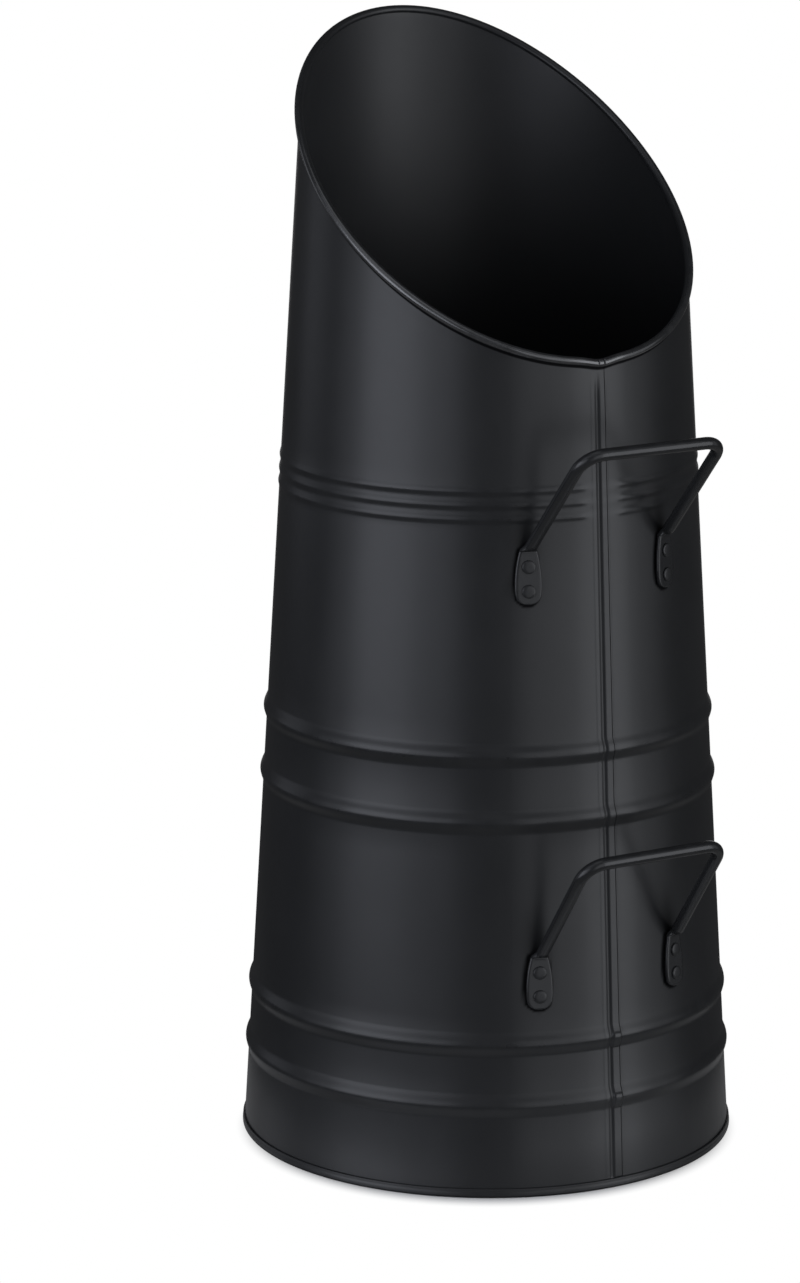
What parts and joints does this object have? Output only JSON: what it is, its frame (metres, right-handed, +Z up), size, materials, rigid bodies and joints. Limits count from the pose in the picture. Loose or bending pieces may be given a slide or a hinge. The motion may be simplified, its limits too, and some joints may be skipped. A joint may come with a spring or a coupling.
{
  "type": "coal scuttle",
  "caption": "Tapered round coal bucket of black powder-coated sheet steel with a slanted, wired mouth, rolled beads, a locked seam and two riveted rod handles.",
  "frame": {"origin": "centre of the foot ring on the floor", "axes": "+Z up along the bucket's axis, -Y towards the locked seam, the two handles and the low side of the mouth, +Y towards the high side that coal is poured from"},
  "size_m": [0.2268, 0.2555, 0.51],
  "materials": {
    "powder_coat": "matt to satin black powder coat, very slightly blue, with a fine orange-peel texture",
    "steel_wire": "drawn steel wire, closed inside the curled rim"
  },
  "bodies": {
    "root": {"body_shell": "powder_coat", "base_disc": "powder_coat", "rim_wire": "steel_wire", "upper_handle": "powder_coat", "lower_handle": "powder_coat", "rivet_upper_left_top": "powder_coat", "rivet_upper_left_bottom": "powder_coat", "rivet_upper_right_top": "powder_coat", "rivet_upper_right_bottom": "powder_coat", "rivet_lower_left_top": "powder_coat", "rivet_lower_left_bottom": "powder_coat", "rivet_lower_right_top": "powder_coat", "rivet_lower_right_bottom": "powder_coat"}
  },
  "joints": []
}
